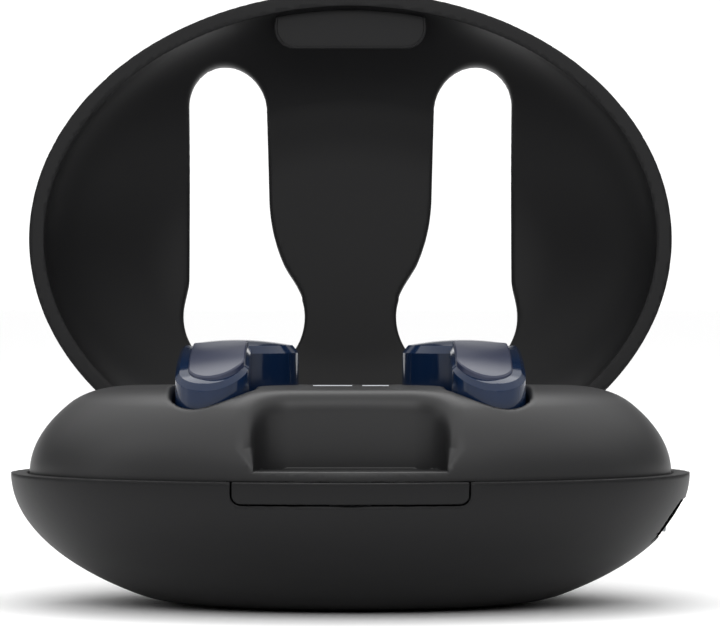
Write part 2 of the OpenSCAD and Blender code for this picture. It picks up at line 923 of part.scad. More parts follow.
earbud_driver("left");  // earbud_driver_left
earbud_driver("right");  // earbud_driver_right
earbud_battery("left");  // earbud_battery_left
earbud_battery("right");  // earbud_battery_right
earbud_board("left");  // earbud_board_left
earbud_board("right");  // earbud_board_right
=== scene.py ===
"""Looks for the wireless earbuds case.

Lengths are millimetres until a mesh is made, and heights count from the rim.
"""
import json
import math

import bpy
import numpy as np
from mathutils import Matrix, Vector


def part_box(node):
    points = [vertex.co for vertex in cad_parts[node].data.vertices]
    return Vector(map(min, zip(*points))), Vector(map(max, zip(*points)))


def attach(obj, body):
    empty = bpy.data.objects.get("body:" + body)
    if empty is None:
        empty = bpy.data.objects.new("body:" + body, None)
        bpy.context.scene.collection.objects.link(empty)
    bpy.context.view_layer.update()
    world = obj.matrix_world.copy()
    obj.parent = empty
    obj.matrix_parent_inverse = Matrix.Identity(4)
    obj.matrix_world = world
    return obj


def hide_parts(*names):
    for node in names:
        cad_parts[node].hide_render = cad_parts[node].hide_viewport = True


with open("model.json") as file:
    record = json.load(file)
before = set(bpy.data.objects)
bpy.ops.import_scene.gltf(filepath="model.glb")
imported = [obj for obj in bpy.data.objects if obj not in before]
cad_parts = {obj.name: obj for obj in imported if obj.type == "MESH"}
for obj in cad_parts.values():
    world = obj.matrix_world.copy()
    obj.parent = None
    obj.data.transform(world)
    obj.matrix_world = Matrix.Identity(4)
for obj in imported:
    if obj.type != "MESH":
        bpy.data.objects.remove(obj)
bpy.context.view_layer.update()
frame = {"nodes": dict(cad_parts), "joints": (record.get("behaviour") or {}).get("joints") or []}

MM = 0.001


# ---- Sizes read from the frame ----

def box_mm(node):
    """Lowest and highest corner of a CAD node, in millimetres."""
    low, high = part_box(node)
    return np.array(low) / MM, np.array(high) / MM


base_low, base_high = box_mm("base_shell")
RIM = base_high[2]
HALF_L = base_high[0]
# The button's opening takes the base's foremost point away, so this is 0.3 mm short of the design's half width.
HALF_W = -base_low[1]
tray_low, tray_high = box_mm("tray")
TRAY_L = tray_high[0]
TRAY_W = -tray_low[1]
TRAY_TOP = tray_high[2] - RIM
hinge = next(j for j in frame["joints"] if j["name"] == "lid_hinge")
HINGE_Y = hinge["pos_m"][1] / MM
HINGE_Z = hinge["pos_m"][2] / MM - RIM
OPEN_ANGLE = math.radians(hinge["range_deg"][1])
bracket_low, bracket_high = box_mm("hinge_bracket")
BRACKET_L = bracket_high[0] - bracket_low[0]
BRACKET_R = bracket_high[2] - RIM - HINGE_Z
drum_low, drum_high = box_mm("earbud_drum_left")
DRUM_X = (drum_low[0] + drum_high[0]) / 2
DRUM_Y = (drum_low[1] + drum_high[1]) / 2
DRUM_R = (drum_high[0] - drum_low[0]) / 2
BUD_TOP = drum_high[2] - RIM
face_low, face_high = box_mm("earbud_face_left")
body_low = box_mm("earbud_body_left")[0]
button_low, button_high = box_mm("front_button")
boss_low, boss_high = box_mm("lid_boss")


# ---- Sizes from the design that the frame doesn't give ----

WALL = 1.75
SEAT_GAP = 0.05
PEBBLE_H = 17.2
TRAY_PEBBLE_H = 15.7
TRAY_CROWN_Y = -8
LID_TOP = 14.8
LID_INSIDE_H = 16.1
LID_INSIDE_TOP = 13.2
LID_GAP = 0.2
FLOOR_T = 1.5
BUD_R = 3.95
BUD_X = face_low[0] + BUD_R
BODY_TOP = 7.0
WINDOW_R = 4.6
WINDOW_FRONT = -22.05 + WINDOW_R
BUD_UNDER = -0.8
SOCKET_FLOOR = -1.2
WELL_R = 6.4
WELL_FLOOR = -9.6
TRAY_WALL = 1.4
TRAY_SKIRT = 3.0
TRAY_CUT_R = 8.7
SWING_GAP = 0.3
HINGE_INSET = 4.3
PIN_BORE_R = 0.8
EYE_R = 2.6
SLOT_ANGLE = math.radians(55)
ARM_ANGLE = math.radians(105)
ARM_REACH = 8.3
ARM_HALF_W = 1.5
SCREW_X = 8
SCREW_BACK = 2.8
SCREW_SEAT_R = 1.45
SCREW_SEAT_Z = 2.95
NOTCH_W = 10.2
NOTCH_BACK = -20.0
NOTCH_FLOOR = 1.1
NOTCH_R = 4.0
BUTTON_W = (button_high[0] - button_low[0]) / 2
BUTTON_H = RIM - button_low[2]
BUTTON_R = 1.0
BUTTON_GAP = 0.15
BUTTON_ROOM_SIDE = 0.7
BUTTON_ROOM_DEPTH = 7.2
STEM_R = 1.0
STEM_Z = -1.15
BOSS_W = (boss_high[0] - boss_low[0]) / 2
BOSS_BOTTOM = NOTCH_FLOOR + 0.25
BOSS_BACK = -HALF_W + 6.7
BOSS_R = 3.0
ARM_X = 15.0
ARM_T = 4.0
PORT_Z = -4.9
PORT_W = 5.2
PORT_H = 2.0
NOZZLE_R = 2.6
NOZZLE_L = 5.6
NOZZLE_WALL = 0.9
CONTACT_X = BUD_X - 1.35
CONTACT_Y = (-14, -10)
CONTACT_R = 0.9
TIP_R = 5.9
TIP_H = 7
TIP_WALL = 0.7
TIP_DROP = 0.8


# ---- Sizes that only the looks have ----

# The front of the earbud, moved back to where its socket meets the tray's dome at the right height.
BUD_SET_BACK = 1.6
BUD_TIP = face_low[1] + BUD_SET_BACK
BUD_FRONT = BUD_TIP + BUD_R
SHOULDER_END = 4.5
SOCKET_GAP = 0.35
# The raised face: a narrower bar than the earbud's, and closer to the middle of the case.
FACE_R = 3.05
FACE_X = BUD_X + 0.5
FACE_FRONT = BUD_TIP + 4
# Hairline gaps between the earbud's mouldings.
JOINT_GAP = 0.05
DRUM_GAP = 0.06
# The port's frame: half sizes, how far it lies under the shell's surface, and how deep it goes.
FRAME_W = 7.6
FRAME_H = 2.05
FRAME_SUNK = 0.15
FRAME_DEPTH = 0.95


# ---- Fields: each gives a distance in millimetres, negative inside ----

def ellipsoid(x, y, z, a, b, h):
    """Close to the distance from an ellipsoid about the rim's middle: |p/r| times (|p/r| - 1), over |p/r^2|."""
    k0 = np.sqrt((x / a) ** 2 + (y / b) ** 2 + (z / h) ** 2)
    k1 = np.sqrt((x / a**2) ** 2 + (y / b**2) ** 2 + (z / h**2) ** 2)
    return k0 * (k0 - 1) / np.maximum(k1, 1e-6)


def both(a, b, round_r=0.0):
    """Where a and b overlap, with the edge between them rounded over about round_r, which may vary."""
    h = np.clip(0.5 + 0.5 * (a - b) / np.maximum(round_r, 1e-6), 0, 1)
    return a * h + b * (1 - h) + round_r * h * (1 - h)


def either(a, b, round_r=0.0):
    """a and b together, with the corner between them filled over about round_r."""
    return -both(-a, -b, round_r)


def cut(a, b, round_r=0.0):
    """a with b taken away, with the edge rounded over about round_r."""
    return both(a, -b, round_r)


def rect(x, y, w, h, r=0.0):
    """Rectangle of half sizes w and h about the origin, with corners of radius r."""
    dx, dy = np.abs(x) - w + r, np.abs(y) - h + r
    return np.hypot(np.maximum(dx, 0), np.maximum(dy, 0)) + np.minimum(np.maximum(dx, dy), 0) - r


def bar_plan(x, y):
    """Plan of an earbud's front: a round-ended bar."""
    return np.hypot(x - BUD_X, y - np.clip(y, BUD_FRONT, DRUM_Y)) - BUD_R


def drum_plan(x, y):
    """Plan of an earbud's round rear part."""
    return np.hypot(x - DRUM_X, y - DRUM_Y) - DRUM_R


def shoulder_plan(x, y, at, turn):
    """Left of a line through a point, up to the shoulder's end. It leans from straight back by an angle."""
    right = (x - at[0]) * math.cos(turn) - (y - at[1]) * math.sin(turn)
    return np.maximum(right, np.maximum(y - SHOULDER_END, BUD_X - x))


def bud_plan(x, y):
    """Plan of an earbud: the bar widens over a shoulder and flows into the round part."""
    shoulder = shoulder_plan(x, y, (BUD_X + BUD_R, -4), math.radians(28))
    return either(either(bar_plan(x, y), shoulder, 1.4), drum_plan(x, y), 0.8)


def window_plan(x, y):
    """Plan of a lid window: a round-ended bar that widens slightly to the back, a shoulder and a circle."""
    t = np.clip((y - WINDOW_FRONT) / (DRUM_Y - WINDOW_FRONT), 0, 1)
    bar = np.hypot(x - BUD_X - 0.25 - 0.35 * t, y - np.clip(y, WINDOW_FRONT, DRUM_Y)) - WINDOW_R - 0.35 * t
    shoulder = shoulder_plan(x, y, (BUD_X + 5.35, -2.4), math.radians(25.5))
    return either(either(bar, shoulder, 1.8), drum_plan(x, y) - 0.35, 0.8)


def notch_plan(x, y):
    """Plan of the notch: open at the front, with large round corners at the back."""
    depth = 30.0
    return rect(x, y - NOTCH_BACK + depth, NOTCH_W, depth, NOTCH_R)


def hinge_round(x, y, z, r, half):
    """Round bar about the hinge pin."""
    return np.maximum(np.hypot(y - HINGE_Y, z - HINGE_Z) - r, np.abs(x) - half)


# ---- Field to mesh ----

def slope_at(field, p, e):
    """The field at points p, and its slope from differences of 2e along each axis."""
    value = field(*p.T)
    slope = np.stack([
        (field(*(p + e * d).T) - field(*(p - e * d).T)) / (2 * e) for d in np.eye(3)
    ], axis=1)
    return value, slope


def unit(v):
    """Vectors of length one."""
    return v / np.maximum(np.linalg.norm(v, axis=1, keepdims=True), 1e-9)


def skin(field, low, high, step):
    """Triangles of the surface where field is zero, found on a grid of that step.

    Each cell that the surface crosses gets one vertex. It lies where the flat pieces through the crossings on
    the cell's edges meet, by least squares with a slight pull to their middle, so a sharp edge stays sharp.
    Each grid edge that the surface crosses joins the four cells round it, and the shorter way across the
    surface splits that face. The corner normals are the field's slope just inside each triangle.
    """
    axes = [np.arange(low[i] - 2 * step, high[i] + 3 * step, step) for i in range(3)]
    gx, gy, gz = np.meshgrid(*axes, indexing="ij", sparse=True)
    f = field(gx, gy, gz) + np.zeros([len(a) for a in axes])
    rim = np.pad(np.zeros([len(a) - 2 for a in axes], bool), 1, constant_values=True)
    f = np.where(rim, np.maximum(f, step), f)
    n = [len(a) - 1 for a in axes]
    origin = np.array([a[0] for a in axes])
    eye = np.eye(3, dtype=int)

    corners = [f[i:n[0] + i, j:n[1] + j, k:n[2] + k] < 0 for i in (0, 1) for j in (0, 1) for k in (0, 1)]
    inside = sum(c.astype(np.int8) for c in corners)
    active = (inside > 0) & (inside < 8)
    cells = np.argwhere(active)
    index = np.full(active.shape, -1, np.int64)
    index[active] = np.arange(len(cells))
    planes, pull = np.zeros((len(cells), 3, 3)), np.zeros((len(cells), 3))
    middle, count = np.zeros((len(cells), 3)), np.zeros(len(cells))
    quads = []
    for axis in range(3):
        u, v = eye[(axis + 1) % 3], eye[(axis + 2) % 3]
        end = [slice(0, n[k] + (k != axis)) for k in range(3)]
        far = list(end)
        far[axis] = slice(1, n[axis] + 1)
        fa, fb = f[tuple(end)], f[tuple(far)]
        hit = np.argwhere((fa < 0) != (fb < 0))
        va, vb = fa[tuple(hit.T)], fb[tuple(hit.T)]
        point = origin + step * (hit + (va / (va - vb))[:, None] * eye[axis])
        value, slope = slope_at(field, point, step * 0.04)
        along = slope[:, axis]
        shift = np.where(np.abs(along) > 0.2, -value / np.where(np.abs(along) > 0.2, along, 1), 0)
        point = point + np.clip(shift, -step / 2, step / 2)[:, None] * eye[axis]
        normal = unit(slope)
        reach = (normal * point).sum(1)
        ring = [index[tuple((hit - a * u - b * v).T)] for a, b in ((1, 1), (0, 1), (0, 0), (1, 0))]
        for cell in ring:
            for i in range(3):
                middle[:, i] += np.bincount(cell, point[:, i], len(cells))
                pull[:, i] += np.bincount(cell, normal[:, i] * reach, len(cells))
                for j in range(3):
                    planes[:, i, j] += np.bincount(cell, normal[:, i] * normal[:, j], len(cells))
            count += np.bincount(cell, minlength=len(cells))
        quad = np.stack(ring, axis=1)
        quads.append(np.where((va < 0)[:, None], quad, quad[:, ::-1]))
    middle /= count[:, None]
    weight = planes + 0.05 * np.eye(3)
    offset = pull - np.einsum("nij,nj->ni", planes, middle)
    verts = middle + np.linalg.solve(weight, offset[:, :, None])[:, :, 0]
    corner = origin + step * cells
    verts = np.clip(verts, corner - 0.1 * step, corner + 1.1 * step)

    quads = np.concatenate(quads)
    p = verts[quads]
    first = np.abs(field(*((p[:, 0] + p[:, 2]) / 2).T))
    second = np.abs(field(*((p[:, 1] + p[:, 3]) / 2).T))
    split = np.where((first <= second)[:, None], [0, 1, 2, 0, 2, 3], [1, 2, 3, 1, 3, 0])
    tris = np.take_along_axis(quads, split, axis=1).reshape(-1, 3)
    p = verts[tris]
    just_in = p + 0.2 * (p.mean(1, keepdims=True) - p)
    normals = slope_at(field, just_in.reshape(-1, 3), step * 0.04)[1]
    return verts, tris, unit(normals)


def opened(p):
    """Lid points swung back from closed to open about the hinge pin."""
    y, z = p[:, 1] - HINGE_Y, p[:, 2] - HINGE_Z
    c, s = math.cos(OPEN_ANGLE), math.sin(OPEN_ANGLE)
    return np.stack([p[:, 0], HINGE_Y + y * c + z * s, HINGE_Z - y * s + z * c], axis=1)


def mirrored(p):
    """Points on the right side from those on the left."""
    return p * [-1, 1, 1]


def mesh_piece(name, verts, faces, material, body, replaces=(), normals=None):
    """Object of those points, in millimetres over the rim, that rides on a body and stands for CAD nodes."""
    mesh = bpy.data.meshes.new(name)
    mesh.from_pydata((verts * MM + [0, 0, RIM * MM]).tolist(), [], faces.tolist())
    mesh.shade_smooth()
    if normals is None:
        mesh.set_sharp_from_angle(angle=math.radians(50))
    else:
        mesh.normals_split_custom_set(normals.tolist())
    obj = bpy.data.objects.new(name, mesh)
    bpy.context.scene.collection.objects.link(obj)
    mesh.materials.append(material)
    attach(obj, body)
    if replaces:
        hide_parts(*replaces)
    return obj


def skin_piece(name, field, low, high, step, material, body, replaces, place=None, flip=False):
    """Piece from a field. place moves the finished points, and flip turns the faces round after a mirror."""
    verts, faces, normals = skin(field, low, high, step)
    if place is not None:
        normals = place(normals) - place(np.zeros((1, 3)))
        verts = place(verts)
    if flip:
        faces = faces[:, ::-1]
        normals = normals.reshape(-1, 3, 3)[:, ::-1].reshape(-1, 3)
    return mesh_piece(name, verts, faces, material, body, replaces, normals)


# ---- Materials ----

def colour(code):
    """Linear colour from an sRGB hex value."""
    channels = [int(code[i:i + 2], 16) / 255 for i in (1, 3, 5)]
    linear = [c / 12.92 if c <= 0.04045 else ((c + 0.055) / 1.055) ** 2.4 for c in channels]
    return (*linear, 1)


def add(material, kind, links=None, **settings):
    """Adds a shader node. settings set its properties or its sockets, and links feed its sockets."""
    node = material.node_tree.nodes.new(kind)
    for key, value in settings.items():
        if hasattr(node, key):
            setattr(node, key, value)
        else:
            node.inputs[key.replace("_", " ")].default_value = value
    for key, socket in (links or {}).items():
        material.node_tree.links.new(socket, node.inputs[key])
    return node


def new_material(name):
    """Empty node material with a Principled shader wired to its output."""
    material = bpy.data.materials.new(name)
    material.use_nodes = True
    material.node_tree.nodes.clear()
    shader = add(material, "ShaderNodeBsdfPrincipled")
    add(material, "ShaderNodeOutputMaterial", {"Surface": shader.outputs[0]})
    return material, shader


def set_shader(shader, **values):
    """Sets the shader's own sockets."""
    for key, value in values.items():
        shader.inputs[key.replace("_", " ")].default_value = value


def feed(material, shader, socket, source):
    """Wires a pattern to one of the shader's sockets."""
    material.node_tree.links.new(source, shader.inputs[socket])


def grained(name, dark, light, rough, grain_mm, bump_um, drift_mm=14.0, **values):
    """Moulded plastic: a slow drift between two tones, a fine grain in the bump, and roughness that wanders."""
    material, shader = new_material(name)
    place = add(material, "ShaderNodeTexCoord").outputs["Object"]
    drift = add(material, "ShaderNodeTexNoise", {"Vector": place}, Scale=1000 / drift_mm, Detail=3.0)
    tone = add(material, "ShaderNodeMix", {"Factor": drift.outputs["Fac"]}, data_type="RGBA")
    tone.inputs["A"].default_value = colour(dark)
    tone.inputs["B"].default_value = colour(light)
    feed(material, shader, "Base Color", tone.outputs["Result"])
    wander = add(material, "ShaderNodeMapRange", {"Value": drift.outputs["Fac"]})
    wander.inputs["To Min"].default_value = rough - 0.03
    wander.inputs["To Max"].default_value = rough + 0.03
    feed(material, shader, "Roughness", wander.outputs["Result"])
    grain = add(material, "ShaderNodeTexNoise", {"Vector": place}, Scale=1000 / grain_mm, Detail=2.0)
    bump = add(material, "ShaderNodeBump", {"Height": grain.outputs["Fac"]},
               Strength=1.0, Distance=bump_um * 1e-6)
    feed(material, shader, "Normal", bump.outputs["Normal"])
    set_shader(shader, **values)
    return material


def soft_touch_abs():
    """ABS moulding sprayed with soft-touch lacquer: a broad, quiet sheen and a barely felt grain."""
    return grained("soft_touch_lacquer_on_abs", "#161617", "#19191a", 0.46, 0.5, 2.0,
                   IOR=1.5, Specular_IOR_Level=0.18)


def tray_abs():
    """ABS from a spark-eroded mould: finer grain than the lacquer and a slightly brighter sheen."""
    return grained("spark_eroded_black_abs", "#1c1c1d", "#212122", 0.42, 0.4, 2.5,
                   IOR=1.5, Specular_IOR_Level=0.45)


def navy_polycarbonate():
    """Polycarbonate polished in the mould, tinted navy with a trace of pearl, under a clear coat."""
    return grained("polished_navy_polycarbonate", "#0d1f38", "#112545", 0.12, 0.8, 0.3, 6.0,
                   IOR=1.58, Specular_IOR_Level=0.3)


def face_painted_sky_reflection():
    """Navy polycarbonate face whose lavender-grey base colour is painted reflection: it stands in for the
    bright sky that the face mirrors at this grazing view.
    """
    return grained("navy_face_painted_sky_reflection", "#252b42", "#2d334a", 0.3, 0.3, 1.0, 5.0,
                   IOR=1.55, Specular_IOR_Level=0.4)


def silicone():
    """Moulded silicone rubber: soft satin with a faint dusty bloom."""
    return grained("moulded_grey_silicone", "#34353b", "#3c3d44", 0.55, 0.35, 2.0, 5.0,
                   IOR=1.41, Sheen_Weight=0.15)


def plain_plastic(name, dark, light, rough):
    """Moulded nylon or ABS of another colour."""
    return grained(name, dark, light, rough, 0.35, 1.5, 4.0, IOR=1.5)


def metal(name, dark, light, rough):
    """Rolled or plated metal with a very fine grain."""
    return grained(name, dark, light, rough, 0.12, 0.8, 3.0, Metallic=1.0)


def circuit_board():
    """Glass-epoxy board under green solder mask, with the copper's tracks just showing as a checked relief."""
    material, shader = new_material("solder_mask_on_glass_epoxy")
    place = add(material, "ShaderNodeTexCoord").outputs["Object"]
    tracks = add(material, "ShaderNodeTexBrick", {"Vector": place}, Scale=900.0)
    tracks.inputs["Color1"].default_value = colour("#1c5c3a")
    tracks.inputs["Color2"].default_value = colour("#1f6841")
    tracks.inputs["Mortar"].default_value = colour("#123f28")
    feed(material, shader, "Base Color", tracks.outputs["Color"])
    bump = add(material, "ShaderNodeBump", {"Height": tracks.outputs["Fac"]}, Strength=0.4, Distance=2e-5)
    feed(material, shader, "Normal", bump.outputs["Normal"])
    set_shader(shader, Roughness=0.3, IOR=1.5)
    return material


def light_pipe():
    """Frosted polycarbonate light pipe: milky, with a soft glow when lit from below."""
    material = grained("frosted_polycarbonate", "#cfd3d8", "#e2e5e9", 0.35, 0.3, 1.0, 2.0, IOR=1.58)
    shader = next(n for n in material.node_tree.nodes if n.type == "BSDF_PRINCIPLED")
    set_shader(shader, Emission_Color=colour("#e8ecf2"), Emission_Strength=0.35)
    return material


SHELL = soft_touch_abs()
TRAY = tray_abs()
NAVY = navy_polycarbonate()
# The face's lavender-grey base colour is painted reflection of the sky on navy polycarbonate.
FACE = face_painted_sky_reflection()
RUBBER = silicone()
STEEL = metal("rolled_stainless_steel", "#8f9296", "#a9acb0", 0.28)
NICKEL = metal("nickel_plate", "#b4b2aa", "#c9c7c0", 0.2)
GOLD = metal("hard_gold_plate", "#b8893a", "#d0a551", 0.22)
BOARD = circuit_board()
PIPE = light_pipe()
# Near-black, with almost no reflection (IOR 1.05, low specular): painted shade, so the port's frame and mouth
# render as dark as the shade inside the port.
PORT_PAINTED_SHADE = grained("port_mouth_painted_shade_black", "#030303", "#060606", 0.95, 0.35, 1.5, 4.0,
               IOR=1.05, Specular_IOR_Level=0.05)
NYLON = plain_plastic("moulded_black_nylon", "#141416", "#1b1b1e", 0.5)
CREAM = plain_plastic("moulded_cream_nylon", "#cfc6ad", "#dcd4bd", 0.45)
WRAP = plain_plastic("pouch_cell_foil_wrap", "#7d838a", "#8d939a", 0.35)

NODE_MATERIALS = {
    "hinge_pin": STEEL, "hinge_screws": STEEL, "tray_magnets": NICKEL, "lid_magnets": NICKEL,
    "tact_switch": STEEL, "switch_plunger": CREAM, "battery": WRAP, "main_board": BOARD,
    "board_screws": STEEL, "usb_board": BOARD, "usb_screws": STEEL, "usb_shell": STEEL,
    "usb_tongue": NYLON, "light_pipes": PIPE, "status_leds": PIPE, "led_board": BOARD,
    "pogo_carrier": NYLON, "pogo_pins": GOLD, "cradle_magnet": NICKEL, "nozzle_mesh": STEEL,
    "earbud_contacts": GOLD, "earbud_driver": STEEL, "earbud_battery": NICKEL, "earbud_board": BOARD,
}
for node_name, node in frame["nodes"].items():
    kind = node_name.removesuffix("_left").removesuffix("_right")
    if kind in NODE_MATERIALS:
        node.data.materials.clear()
        node.data.materials.append(NODE_MATERIALS[kind])


# ---- Shells ----

def frame_plan(y, z, gap):
    """End view of the port's frame, with round ends, drawn out by a gap."""
    return rect(y, z - PORT_Z, FRAME_W, FRAME_H, FRAME_H) - gap


def frame_field(x, y, z):
    """Oval frame a little under the shell's surface, with the port's mouth through it; it carries the port's
    painted shade.
    """
    depth = ellipsoid(x, y, z, HALF_L, HALF_W, PEBBLE_H)
    ring = np.maximum(np.maximum(frame_plan(y, z, 0), depth + FRAME_SUNK), -depth - FRAME_DEPTH)
    mouth_h = PORT_H - 0.3
    mouth = rect(y, z - PORT_Z, PORT_W - 0.55, mouth_h, mouth_h)
    return np.maximum(cut(ring, mouth, 0.1), HALF_L / 2 - x)


def base_field(x, y, z):
    """Lower half of the pebble, hollowed, with its foot, hinge seat, port and button opening cut."""
    outside = both(ellipsoid(x, y, z, HALF_L, HALF_W, PEBBLE_H), -z - RIM, 1.2)
    inside = both(ellipsoid(x, y, z, HALF_L - WALL, HALF_W - WALL, PEBBLE_H - WALL), -z - RIM + FLOOR_T, 2.0)
    shell = both(cut(outside, inside), z, 0.2)
    shell = cut(shell, hinge_round(x, y, z, BRACKET_R + SEAT_GAP, BRACKET_L / 2 + SEAT_GAP))
    port = np.maximum(rect(y, z - PORT_Z, PORT_W, PORT_H, PORT_H), HALF_L / 2 - x)
    depth = ellipsoid(x, y, z, HALF_L, HALF_W, PEBBLE_H)
    seat = np.maximum(frame_plan(y, z, SEAT_GAP), -depth - FRAME_DEPTH - SEAT_GAP)
    shell = cut(shell, np.minimum(port, np.maximum(seat, HALF_L / 2 - x)), 0.1)
    opening = rect(x, z - 4 + BUTTON_H + BUTTON_GAP, BUTTON_W + BUTTON_GAP, 4, BUTTON_R + BUTTON_GAP)
    return cut(shell, np.maximum(opening, y + HALF_W / 2), 0.2)


skin_piece("base_shell_skin", base_field, [-HALF_L, -HALF_W, -RIM], [HALF_L, HALF_W, 0.2], 0.42,
           SHELL, "base", ["base_shell"])


# The port's frame wears the near-black painted shade of the port's mouth.
skin_piece("port_frame_painted_shade", frame_field,
           [HALF_L - 4.5, -FRAME_W, PORT_Z - FRAME_H], [HALF_L, FRAME_W, PORT_Z + FRAME_H], 0.15,
           PORT_PAINTED_SHADE, "base", ["base_shell"])


def button_field(x, y, z):
    """Strip of the shell's wall between two ellipsoids, with a stem behind it."""
    wall = cut(ellipsoid(x, y, z, HALF_L, HALF_W, PEBBLE_H),
               ellipsoid(x, y, z, HALF_L - WALL, HALF_W - WALL, PEBBLE_H - WALL))
    outline = rect(x, z - 4 + BUTTON_H, BUTTON_W, 4, BUTTON_R)
    strip = both(both(wall, outline, 0.25), z, 0.2)
    strip = np.maximum(strip, y + HALF_W / 2)
    stem = np.maximum(np.hypot(x, z - STEM_Z) - STEM_R, np.abs(y + HALF_W - 2.2) - 1.4)
    return either(strip, stem, 0.2)


skin_piece("front_button_skin", button_field, [-BUTTON_W, -HALF_W, -BUTTON_H], [BUTTON_W, -HALF_W + 4, 0], 0.2,
           SHELL, "front_button", ["front_button"])


def tray_field(x, y, z):
    """Dome over the sockets: sockets, wells, notch and hinge recess cut, and hollow below but for their walls.

    The notch's edges are broadly rounded above, and crisp near its floor.
    """
    crown = z - TRAY_TOP + 0.0006 * (y - TRAY_CROWN_Y) ** 2
    dome = both(ellipsoid(x, y, z, TRAY_L, TRAY_W, TRAY_PEBBLE_H), crown, 2.0)
    dome = np.maximum(dome, -z - TRAY_SKIRT)
    plan, notch = bud_plan(-np.abs(x), y), notch_plan(x, y)
    drum = np.hypot(-np.abs(x) - DRUM_X, y - DRUM_Y)
    recess = hinge_round(x, y, z, TRAY_CUT_R, BRACKET_L / 2 + SWING_GAP)
    hollow = ellipsoid(x, y, z, TRAY_L - TRAY_WALL, TRAY_W - TRAY_WALL, TRAY_PEBBLE_H - TRAY_WALL)
    hollow = np.maximum(hollow, crown + TRAY_WALL)
    hollow = np.maximum(hollow, -np.maximum(plan - SOCKET_GAP - TRAY_WALL, SOCKET_FLOOR - TRAY_WALL - z))
    hollow = np.maximum(hollow, -np.maximum(notch - TRAY_WALL, -z))
    hollow = np.maximum(hollow, TRAY_WALL - recess)
    soft = 0.3 + 1.9 * np.clip((z - NOTCH_FLOOR - 0.4) / 2, 0, 1)
    dome = cut(dome, np.maximum(notch, NOTCH_FLOOR - z), soft)
    dome = cut(dome, np.maximum(plan - SOCKET_GAP, SOCKET_FLOOR - z), 0.9)
    tray = cut(dome, hollow)
    cup = np.maximum(drum - WELL_R - TRAY_WALL, np.maximum(z - SOCKET_FLOOR + 0.4, WELL_FLOOR - TRAY_WALL - z))
    tray = either(tray, cup)
    tray = np.maximum(tray, -np.maximum(drum - WELL_R, WELL_FLOOR - z))
    tray = cut(tray, recess, 0.4)
    back = np.maximum(HINGE_Y - HINGE_INSET - y, np.abs(x) - BRACKET_L / 2 - SWING_GAP)
    tray = cut(tray, back, 0.4)
    room = np.maximum(y + HALF_W - BUTTON_ROOM_DEPTH, z - 0.05)
    room = np.maximum(np.abs(x) - BUTTON_W - BUTTON_ROOM_SIDE, room)
    return np.maximum(tray, -room)


skin_piece("tray_skin", tray_field, [-TRAY_L, -TRAY_W, WELL_FLOOR - 2], [TRAY_L, TRAY_W, TRAY_TOP], 0.42,
           TRAY, "base", ["tray"])


def lid_field(x, y, z):
    """Upper half of the pebble, hollowed, with the two windows and the hinge's cut-out."""
    outside = both(ellipsoid(x, y, z, HALF_L, HALF_W, PEBBLE_H), z - LID_TOP, 1.5)
    inside = both(ellipsoid(x, y, z, HALF_L - WALL, HALF_W - WALL, LID_INSIDE_H), z - LID_INSIDE_TOP, 1.5)
    shell = both(cut(outside, inside), LID_GAP - z, 0.2)
    windows = np.maximum(window_plan(-np.abs(x), y), 2 - z)
    shell = cut(shell, windows, 0.5)
    return cut(shell, hinge_round(x, y, z, BRACKET_R + SWING_GAP, BRACKET_L / 2 + SWING_GAP), 0.3)


skin_piece("lid_shell_skin", lid_field, [-HALF_L, -HALF_W, 0], [HALF_L, HALF_W, LID_TOP], 0.42,
           SHELL, "lid", ["lid_shell"], opened)


def lid_inside(x, y, z):
    """Inner face of the lid's wall, less the gap of what is seated on it."""
    return ellipsoid(x, y, z, HALF_L - WALL - SEAT_GAP, HALF_W - WALL - SEAT_GAP, LID_INSIDE_H - SEAT_GAP)


def boss_field(x, y, z):
    """Boss for the tray's notch: it grows out of the lid's front wall, and a fine lip runs round its face."""
    depth = 12.0
    lip, sunk = 0.32, 0.25
    lean, draft = 0.12 * (y - BOSS_BACK), 0.28 * (z - BOSS_BOTTOM)
    plan = rect(x, y - BOSS_BACK + depth, BOSS_W + lean, depth, BOSS_R) + draft
    inside = lid_inside(x, y, z)
    block = both(np.maximum(plan, inside), BOSS_BOTTOM - z, 0.25)
    return cut(block, np.maximum(plan + lip, z - BOSS_BOTTOM - sunk))


skin_piece("lid_boss_skin", boss_field, [-BOSS_W, -HALF_W, 1], [BOSS_W, BOSS_BACK, 10.5], 0.18,
           SHELL, "lid", ["lid_boss"], opened)


# ---- Hinge ----

def bracket_field(x, y, z):
    """Barrel about the pin inside the pebble's outline, slotted for the two lid arms and bored for the pin."""
    barrel = hinge_round(x, y, z, BRACKET_R, BRACKET_L / 2)
    body = both(barrel, ellipsoid(x, y, z, HALF_L, HALF_W, PEBBLE_H), 0.4)
    r = np.hypot(y - HINGE_Y, z - HINGE_Z)
    across = np.abs(np.abs(x) - ARM_X) - ARM_T / 2 - SWING_GAP
    turn = (y - HINGE_Y) * math.cos(SLOT_ANGLE) + (z - HINGE_Z) * math.sin(SLOT_ANGLE)
    slot = np.maximum(either(r - EYE_R - SWING_GAP, -turn - r * 0.05), across)
    screws = np.hypot(np.abs(x) - SCREW_X, y - HINGE_Y + SCREW_BACK) - SCREW_SEAT_R
    screws = np.maximum(screws, SCREW_SEAT_Z - z)
    body = cut(body, slot, 0.2)
    body = cut(body, screws, 0.15)
    return np.maximum(body, PIN_BORE_R - r)


skin_piece("hinge_bracket_skin", bracket_field, bracket_low - [0, 0, RIM], bracket_high - [0, 0, RIM], 0.25,
           SHELL, "base", ["hinge_bracket"])


